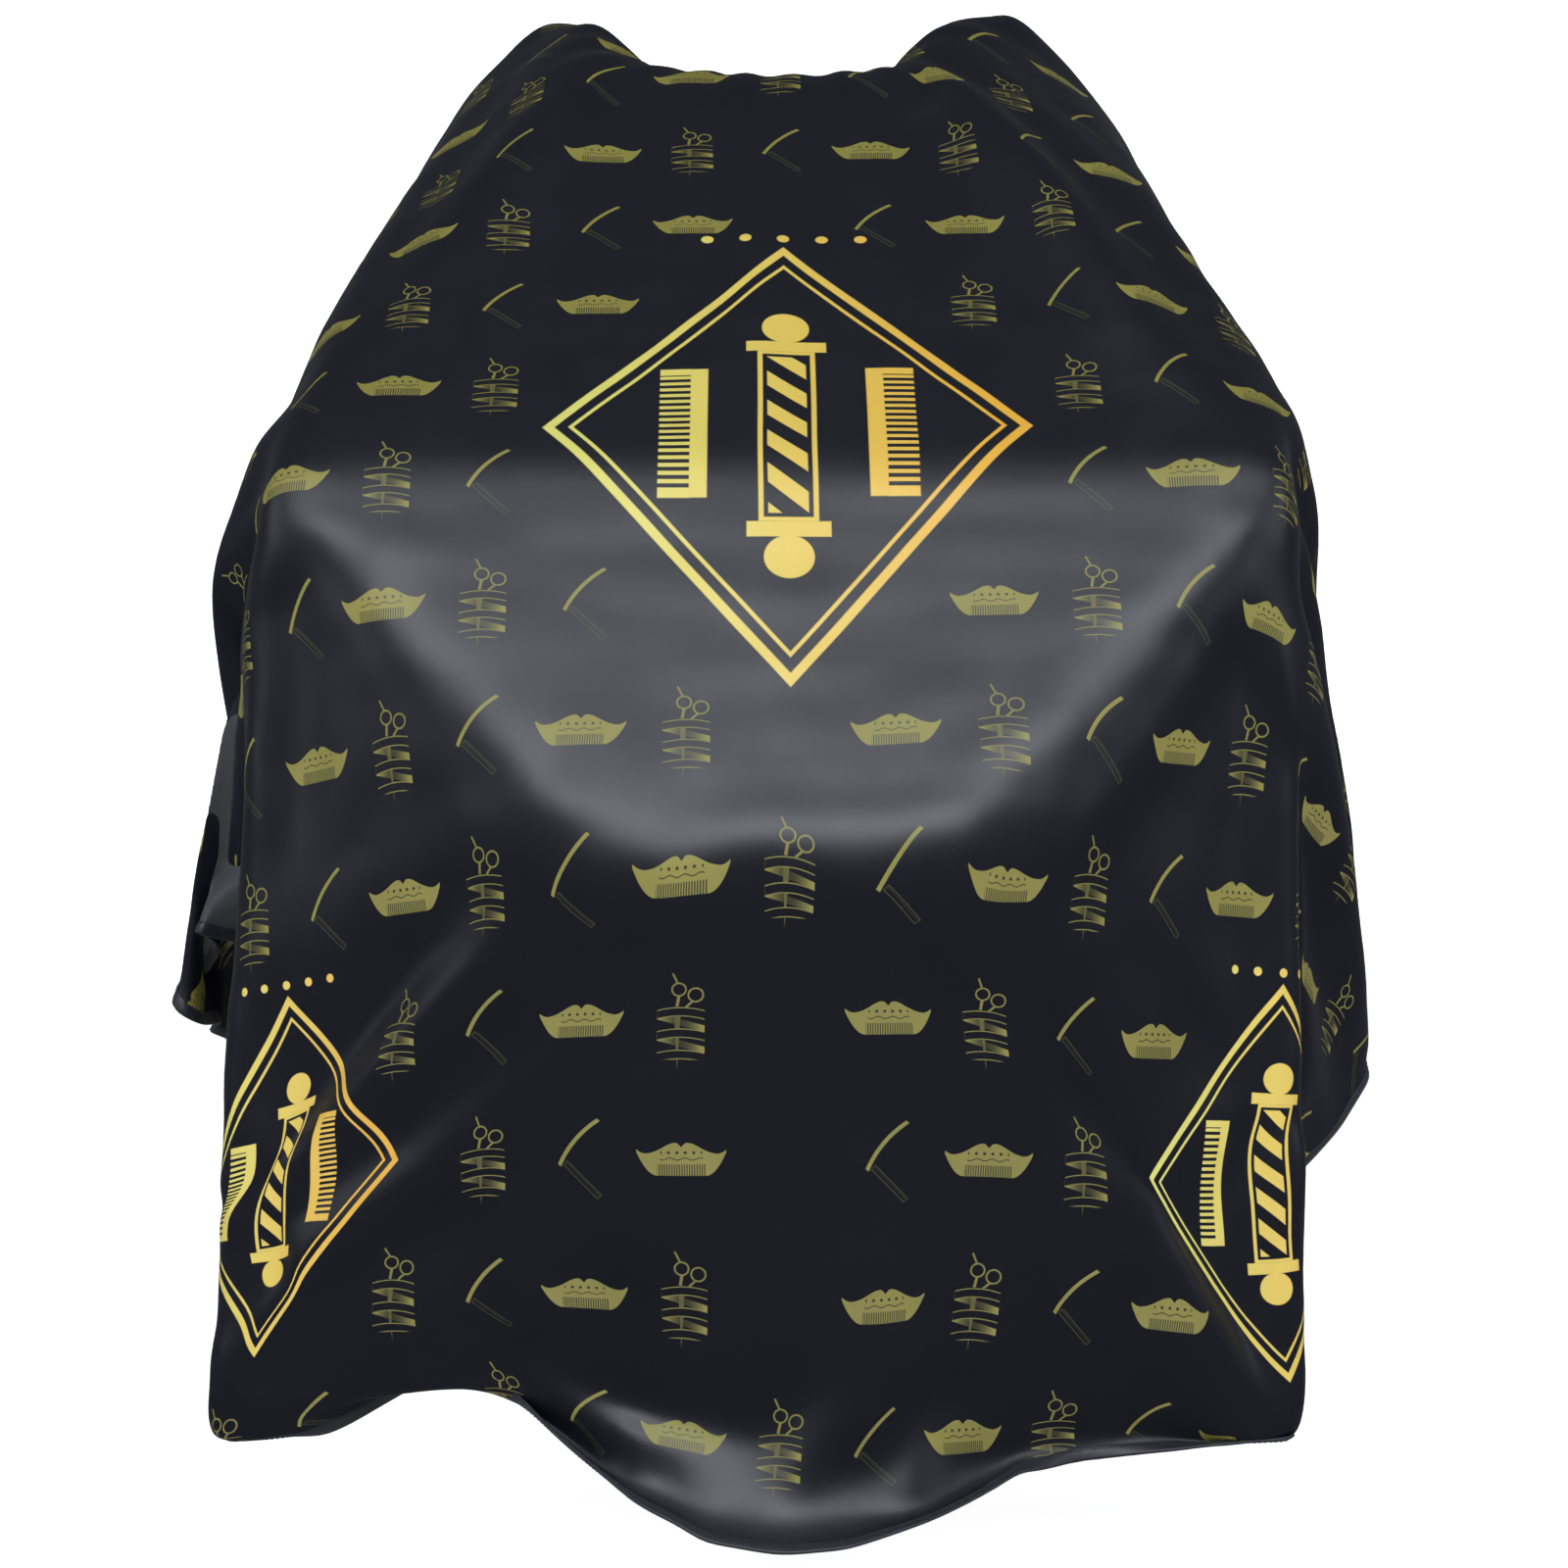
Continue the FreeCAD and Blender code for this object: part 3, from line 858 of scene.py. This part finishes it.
def ribbon_scissors(x, y):
    """A thin outline of scissors with a ribbon wound round their blades."""
    rings = ring_distance(x, y, -0.13, 1.96, 0.42, 0.055)
    rings = rings.math("MINIMUM", ring_distance(x, y, 0.88, 1.60, 0.44, 0.055))
    tail = line_distance(x, y, (-0.22, 2.40), (-0.52, 3.05), 0.06)
    shanks = line_distance(x, y, (-0.13, 1.52), (-0.24, 0.85), 0.09)
    shanks = shanks.math("MINIMUM", line_distance(x, y, (0.72, 1.20), (0.30, 0.80), 0.07))
    blade = largest(abs(x + 0.20) - (y + 3.2) * 0.055, abs(y + 1.2) - 2.0)
    outline = rings.math("MINIMUM", tail).math("MINIMUM", shanks)
    below = y - 0.50
    bow = x * x * 0.10
    row = below.math("FLOORED_MODULO", 1.38)
    turn = (row + bow).math("PINGPONG", 0.69)
    wound = largest(abs(y + 0.85) - 1.75, abs(x) - 1.42)
    front = largest(turn - 0.27, wound)
    rim = largest(abs(turn - 0.27) - 0.035, wound).inside()
    back = (below + 0.69 + x * 0.29 + 0.69).math("FLOORED_MODULO", 1.38) - 0.69
    folds = largest(abs(back) - 0.22, wound, abs(y + 0.85) - 1.35).inside()
    folds = folds * (x * x).scaled(0.55, 0.15)
    uncovered = front.inside().scaled(-1.0, 1.0)
    hidden = folds * uncovered
    steel = blade.inside() * uncovered * 0.45
    return largest(outline.inside() * 0.8, rim * 0.8, hidden, steel)


def open_razor(x, y):
    """A filled curved handle, with a faint outline of the blade."""
    along, across, length = along_line(x, y, (-1.24, -0.56), (1.17, 2.37))
    middle = (along - length / 2) * (2 / length)
    handle = largest(abs(across - (middle * middle).scaled(-0.28, 0.28)) - 0.125, abs(middle) * 1.9 - 1.9)
    along, across, length = along_line(x, y, (-0.85, -0.40), (1.20, -2.50))
    blade = abs(largest(abs(across) - 0.17, abs(along - length / 2) - length / 2)) - 0.02
    spine = largest(abs(across - 0.06) - 0.012, abs(along - length / 2) - length / 2)
    return largest(handle.inside(), blade.inside() * 0.30, spine.inside() * 0.22)


def pole_emblem(x, y):
    """A plain rhombus frame round a striped pole between two combs, with a row of dots."""
    steep = math.hypot(19, 15)
    side = abs(x)
    high = abs(y)
    rim = (side * (19 / steep) + high * (15 / steep)) - 15 * 19 / steep
    frame_line = (abs(rim) - 0.30).inside(EMBLEM_BLUR)
    inner_line = (abs(rim + 1.1) - 0.13).inside(EMBLEM_BLUR)
    pole = box_distance(x, y, 1.7, 7.6)
    stripes = ((x * 0.9 + y).wave(3.0) * 6.0).math("ADD", 0.5, clamp=True)
    pole_line = (abs(pole) - 0.16).inside(EMBLEM_BLUR)
    filled = (pole + 0.45).inside(EMBLEM_BLUR) * stripes
    collar = largest(side - 2.6, abs(high - 8.3) - 0.55).inside(EMBLEM_BLUR)
    knob = (x.hypot(high - 10.3) - 1.55).inside(EMBLEM_BLUR)
    spine = largest(abs(side - 5.6) - 0.55, high - 6.0)
    teeth = largest(abs(side - 7.1) - 1.0, high - 5.7).inside(EMBLEM_BLUR)
    teeth = teeth * (y.wave(0.62) * 3.0).math("ADD", 0.5, clamp=True)
    guard = largest(abs(side - 7.1) - 1.0, abs(high - 5.7) - 0.32)
    comb = largest(spine.inside(EMBLEM_BLUR), guard.inside(EMBLEM_BLUR), teeth)
    dot_x = (x + 1.3).math("FLOORED_MODULO", 2.6) - 1.3
    dots = largest(dot_x.hypot(y - 20.5) - 0.42, side - 6.4).inside(EMBLEM_BLUR)
    return largest(frame_line, inner_line, pole_line, filled, collar, knob, comb, dots)


def new_material(name, roughness, specular=0.5):
    material = bpy.data.materials.new(name)
    material.use_nodes = True
    shader = material.node_tree.nodes["Principled BSDF"]
    shader.inputs["Roughness"].default_value = roughness
    shader.inputs["Specular IOR Level"].default_value = specular
    return material, material.node_tree, shader


def mixed(tree, amount, low, high):
    """A colour between two, each a colour or another mix."""
    node = tree.nodes.new("ShaderNodeMix")
    node.data_type = "RGBA"
    tree.links.new(amount.output, node.inputs["Factor"])
    for slot, colour in ((node.inputs[6], low), (node.inputs[7], high)):
        if isinstance(colour, tuple):
            slot.default_value = (*colour, 1.0)
        else:
            tree.links.new(colour, slot)
    return node.outputs[2]


def noise_field(tree, source, scale, detail=3.0, stretch=(1.0, 1.0, 1.0), roughness=0.5):
    """Noise between 0 and 1 over a coordinate, whose cells may be stretched."""
    mapping = tree.nodes.new("ShaderNodeMapping")
    mapping.inputs["Scale"].default_value = stretch
    tree.links.new(source, mapping.inputs["Vector"])
    node = tree.nodes.new("ShaderNodeTexNoise")
    node.inputs["Scale"].default_value = scale
    node.inputs["Detail"].default_value = detail
    node.inputs["Roughness"].default_value = roughness
    tree.links.new(mapping.outputs[0], node.inputs["Vector"])
    return Field(tree, node.outputs["Fac"])


def bump(tree, height, distance, strength=1.0, below=None):
    node = tree.nodes.new("ShaderNodeBump")
    node.inputs["Strength"].default_value = strength
    node.inputs["Distance"].default_value = distance
    tree.links.new(height.output, node.inputs["Height"])
    if below is not None:
        tree.links.new(below, node.inputs["Normal"])
    return node.outputs["Normal"]


def flat_coordinates(tree):
    """The flat sheet's coordinates in metres, as a vector and as two fields in centimetres."""
    node = tree.nodes.new("ShaderNodeUVMap")
    node.uv_map = "flat"
    split = tree.nodes.new("ShaderNodeSeparateXYZ")
    tree.links.new(node.outputs["UV"], split.inputs[0])
    u, v = (Field(tree, split.outputs[axis]) * 100.0 for axis in ("X", "Y"))
    return node.outputs["UV"], u, v


def object_coordinates(tree):
    return tree.nodes.new("ShaderNodeTexCoord").outputs["Object"]


def woven_bump(tree, vector, u, v):
    """Fine crossed threads over soft, slightly creased cloth."""
    weave = u.wave(WEAVE_PITCH) * v.wave(WEAVE_PITCH)
    soft = noise_field(tree, vector, 26.0, detail=3.0, stretch=(1.0, 0.45, 1.0))
    fine = noise_field(tree, vector, 190.0, detail=2.0)
    surface = bump(tree, soft, CREASE_DEPTH)
    surface = bump(tree, fine, CREASE_DEPTH * 0.08, below=surface)
    return bump(tree, weave, WEAVE_DEPTH, below=surface), soft


def printed_cloth():
    material, tree, shader = new_material("printed_satin", 0.40, specular=0.55)
    vector, u, v = flat_coordinates(tree)
    surface, soft = woven_bump(tree, vector, u, v)
    column = (u * (1 / MOTIF_ACROSS) + 0.5).math("FLOOR")
    row = ((v - MOTIF_FIRST_ROW) * (1 / MOTIF_DOWN) + 0.5).math("FLOOR")
    x = u - column * MOTIF_ACROSS
    y = row * MOTIF_DOWN + MOTIF_FIRST_ROW - v
    kind = (column - 1.0 + row.math("FLOORED_MODULO", 2.0)).math("FLOORED_MODULO", 3.0)
    motifs = largest(
        open_razor(x, y) * kind.equals(0.0),
        moustache_comb(x, y) * kind.equals(1.0),
        ribbon_scissors(x, y) * kind.equals(2.0),
    )
    lower = v.math("GREATER_THAN", SIDE_EMBLEM_FROM_V)
    cell_u = column * MOTIF_ACROSS
    cell_v = row * MOTIF_DOWN + MOTIF_FIRST_ROW
    near = emblem_place(cell_u, cell_v, lower)
    clear = (abs(near[0]) * (1 / 18.0) + abs(near[1]) * (1 / 22.5) - 1.0).math("GREATER_THAN", 0.0)
    emblem_x, emblem_y = emblem_place(u, v, lower)
    emblem = pole_emblem(emblem_x, emblem_y)
    shade = noise_field(tree, vector, 7.0, detail=2.0)
    cloth = mixed(tree, shade, CLOTH_DARK, CLOTH_LIGHT)
    ink = mixed(tree, soft, OLIVE_DARK, OLIVE_LIGHT)
    cloth = mixed(tree, motifs * clear, cloth, ink)
    foil = mixed(tree, emblem_x.math("MULTIPLY_ADD", 1 / 26.0, 0.5, clamp=True), GOLD_GREEN, GOLD_ORANGE)
    tree.links.new(mixed(tree, emblem, cloth, foil), shader.inputs["Base Color"])
    rough = (soft * 0.10).scaled(1.0, CLOTH_ROUGHNESS - 0.05) + (motifs * clear) * 0.10
    tree.links.new(rough.output, shader.inputs["Roughness"])
    tree.links.new(surface, shader.inputs["Normal"])
    shader.inputs["Sheen Weight"].default_value = 0.03
    shader.inputs["Sheen Roughness"].default_value = 0.35
    shader.inputs["Sheen Tint"].default_value = (0.75, 0.78, 0.9, 1.0)
    return material


def emblem_place(u, v, lower):
    """A point's place on the nearest emblem: the chest's, or one of the smaller pair lower down."""
    upper = lower.scaled(-1.0, 1.0)
    side_x = (u - u.math("SIGN") * SIDE_EMBLEM_U) * (1 / SIDE_EMBLEM_SCALE)
    side_y = (v - SIDE_EMBLEM_V) * (-1 / SIDE_EMBLEM_SCALE)
    return u * upper + side_x * lower, (v - CHEST_EMBLEM_V) * -1.0 * upper + side_y * lower


def plain_cloth(name, dark, light, roughness, sheen, weave_scale=2600.0, depth=0.00005):
    """A woven or brushed cloth with fine threads, small slubs and a soft change of tone."""
    material, tree, shader = new_material(name, roughness)
    vector = object_coordinates(tree)
    tone = noise_field(tree, vector, 90.0, detail=4.0)
    threads = noise_field(tree, vector, weave_scale, detail=1.0, stretch=(1.0, 1.0, 0.35))
    crossing = noise_field(tree, vector, weave_scale, detail=1.0, stretch=(0.4, 0.4, 1.0))
    tree.links.new(mixed(tree, tone * 0.6 + threads * 0.4, dark, light), shader.inputs["Base Color"])
    tree.links.new(tone.scaled(0.16, roughness - 0.08).output, shader.inputs["Roughness"])
    surface = bump(tree, tone, 0.0004)
    surface = bump(tree, threads.math("MAXIMUM", crossing), depth, below=surface)
    tree.links.new(surface, shader.inputs["Normal"])
    shader.inputs["Sheen Weight"].default_value = sheen
    shader.inputs["Sheen Roughness"].default_value = 0.4
    return material


def twisted_thread():
    material, tree, shader = new_material("twisted_thread", 0.45)
    vector = object_coordinates(tree)
    fibre = noise_field(tree, vector, 5200.0, detail=2.0, stretch=(1.0, 1.0, 0.3))
    tone = noise_field(tree, vector, 300.0)
    colour = mixed(tree, tone, (0.008, 0.008, 0.011), (0.035, 0.035, 0.042))
    tree.links.new(colour, shader.inputs["Base Color"])
    tree.links.new(fibre.scaled(0.3, 0.32).output, shader.inputs["Roughness"])
    tree.links.new(bump(tree, fibre, 0.00008), shader.inputs["Normal"])
    return material


def plated_metal(name, dark, light, rough_low, rough_high):
    """Plated or drawn metal with fine rubbed scratches and a little tarnish."""
    material, tree, shader = new_material(name, rough_low)
    shader.inputs["Metallic"].default_value = 1.0
    vector = object_coordinates(tree)
    scratches = noise_field(tree, vector, 1400.0, detail=5.0, stretch=(1.0, 1.0, 0.12))
    tarnish = noise_field(tree, vector, 420.0, detail=4.0)
    tree.links.new(mixed(tree, tarnish, dark, light), shader.inputs["Base Color"])
    tree.links.new((scratches * 0.5 + tarnish * 0.5).scaled(rough_high - rough_low, rough_low).output,
                   shader.inputs["Roughness"])
    tree.links.new(bump(tree, scratches, 0.00002), shader.inputs["Normal"])
    return material


def enamel():
    """Black enamel over metal, scuffed in places."""
    material, tree, shader = new_material("black_enamel", 0.2)
    vector = object_coordinates(tree)
    scuffs = noise_field(tree, vector, 900.0, detail=6.0, roughness=0.65)
    worn = ((scuffs - 0.62) * 9.0).math("ADD", 0.0, clamp=True)
    tree.links.new(mixed(tree, worn, (0.012, 0.012, 0.014), (0.10, 0.10, 0.10)), shader.inputs["Base Color"])
    tree.links.new(scuffs.scaled(0.35, 0.08).output, shader.inputs["Roughness"])
    tree.links.new(bump(tree, scuffs, 0.00002), shader.inputs["Normal"])
    shader.inputs["Coat Weight"].default_value = 0.4
    shader.inputs["Coat Roughness"].default_value = 0.12
    return material


def put_on(obj, *materials):
    obj.data.materials.clear()
    for material in materials:
        obj.data.materials.append(material)


# ---- the room

def studio():
    scene = bpy.context.scene
    scene.view_settings.view_transform = "Standard"
    world = bpy.data.worlds.new("studio")
    scene.world = world
    world.use_nodes = True
    background = world.node_tree.nodes["Background"]
    background.inputs["Color"].default_value = (1.0, 1.0, 1.0, 1.0)
    background.inputs["Strength"].default_value = WORLD_GLOW
    floor_z = CAD_BOX[0][2] - FLOOR_GAP
    corners = [(-ROOM, -ROOM), (ROOM, -ROOM), (ROOM, ROOM), (-ROOM, ROOM)]
    floor = make_object("floor", [(x, y, floor_z) for x, y in corners], [(0, 1, 2, 3)])
    walls = make_object("backdrop", [(x, y, z) for z in (floor_z, ROOM) for x, y in corners],
                        [(0, 4, 5, 1), (1, 5, 6, 2), (2, 6, 7, 3), (3, 7, 4, 0)])
    walls.visible_diffuse = False
    walls.visible_shadow = False
    for obj, glow in ((floor, FLOOR_GLOW), (walls, WALL_GLOW)):
        obj.visible_glossy = False
        pale, tree, shader = new_material("pale_" + obj.name, 0.9, specular=0.1)
        paint = noise_field(tree, object_coordinates(tree), 2.0)
        tree.links.new(mixed(tree, paint, (0.86, 0.86, 0.86), (0.9, 0.9, 0.9)), shader.inputs["Base Color"])
        shader.inputs["Emission Color"].default_value = (1.0, 1.0, 1.0, 1.0)
        shader.inputs["Emission Strength"].default_value = glow
        put_on(obj, pale)


def soft_light(name, place, target, width, height, energy):
    light = bpy.data.lights.new(name, "AREA")
    light.shape = "RECTANGLE"
    light.size = width
    light.size_y = height
    light.energy = energy
    light.color = LIGHT_COLOUR
    obj = bpy.data.objects.new(name, light)
    obj.location = place
    obj.rotation_euler = (Vector(target) - Vector(place)).to_track_quat("-Z", "Y").to_euler()
    obj.visible_camera = False
    bpy.context.scene.collection.objects.link(obj)


def camera():
    lens = bpy.data.cameras.new("camera")
    lens.lens = LENS
    obj = bpy.data.objects.new("camera", lens)
    obj.location = CAMERA_PLACE
    obj.rotation_euler = (math.radians(90), 0, 0)
    bpy.context.scene.collection.objects.link(obj)
    bpy.context.scene.camera = obj


# ---- the whole cape

def dress(obj, material, body, node=None):
    """Give a piece its material, its body and the CAD node that it replaces."""
    put_on(obj, material)
    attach(obj, body)
    if node:
        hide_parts(node)


def build():
    surface = drape()
    drape_map = Drape(surface.data)
    paths = edge_paths()
    hems = [(hem(drape_map, *path), path[0]) for path in paths]
    hem_thread = hem_stitches(drape_map, paths)
    reverse = plain_cloth("satin_reverse", (0.030, 0.031, 0.036), (0.045, 0.047, 0.054), 0.5, 0.15)
    put_on(surface, printed_cloth(), reverse)
    give_thickness(surface)

    hem_material = plain_cloth("hem_satin", (0.010, 0.011, 0.016), (0.020, 0.021, 0.028), 0.42, 0.10)
    materials = {
        "band_cloth": plain_cloth("band_twill", (0.008, 0.008, 0.011), (0.020, 0.020, 0.025), 0.55, 0.15),
        "lining_cloth": plain_cloth("brushed_lining", (0.015, 0.015, 0.018), (0.035, 0.035, 0.040), 0.8, 0.4),
        "interlining": plain_cloth(
            "interlining_felt", (0.50, 0.50, 0.48), (0.68, 0.68, 0.65), 0.85, 0.1, 1500.0),
        "thread": twisted_thread(),
    }

    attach(surface, "cape")
    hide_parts("cape_panel")
    for obj, node in hems:
        dress(obj, hem_material, "cape", node)
    dress(hem_thread, materials["thread"], "cape", "hem_stitching")
    sheet_area()
    [obj for obj, _ in hems] + [hem_thread]

    for obj, node, slot in neckband():
        dress(obj, materials[slot], "cape", node)

    cover, lining, core, base, thread = tab_pieces()
    anchor = anchor_thread()
    put_on(cover, materials["band_cloth"])
    start = round_neck(BASE_START, TAB_INSIDE, 0.0)
    end = round_neck(TAB_ROOT, TAB_INSIDE, 0.0)
    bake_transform(cover)
    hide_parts("closure_tab_cover")
    for obj, slot, body, node in (
        (lining, "lining_cloth", "closure_tab", "closure_tab_lining"),
        (core, "interlining", "closure_tab", "closure_tab_stiffener"),
        (base, "band_cloth", "cape", "closure_tab_base"),
        (thread, "thread", "closure_tab", "closure_tab_stitching"),
        (anchor, "thread", "cape", None),
    ):
        dress(obj, materials[slot], body, node)

    nickel = plated_metal("nickel_plate", (0.50, 0.49, 0.46), (0.70, 0.69, 0.66), 0.16, 0.36)
    wire = plated_metal("spring_steel", (0.42, 0.42, 0.43), (0.60, 0.60, 0.61), 0.20, 0.42)
    for node, material in (("snap_studs", nickel), ("snap_stud_backs", nickel), ("snap_sockets", nickel),
                           ("snap_socket_springs", wire), ("snap_caps", enamel())):
        put_on(bpy.data.objects[node], material)


def sheet_area():
    """The area of the sheet as it is cut."""
    flat, faces, _, _ = cut_sheet()
    area = 0
    for face in faces:
        corners = [flat[corner] for corner in face]
        ends = corners[1:] + corners[:1]
        area += abs(sum(u0 * v1 - u1 * v0 for (u0, v0), (u1, v1) in zip(corners, ends))) / 2
    return area


studio()
camera()
soft_light("front_top", (0.0, -2.6, 1.75), (0.0, -0.3, -0.45), 4.2, 1.3, 120)
soft_light("left_fill", (-2.9, -1.0, 0.7), (0.0, -0.2, -0.5), 1.2, 2.0, 12)
soft_light("right_fill", (2.9, -1.0, 0.7), (0.0, -0.2, -0.5), 1.2, 2.0, 12)
build()
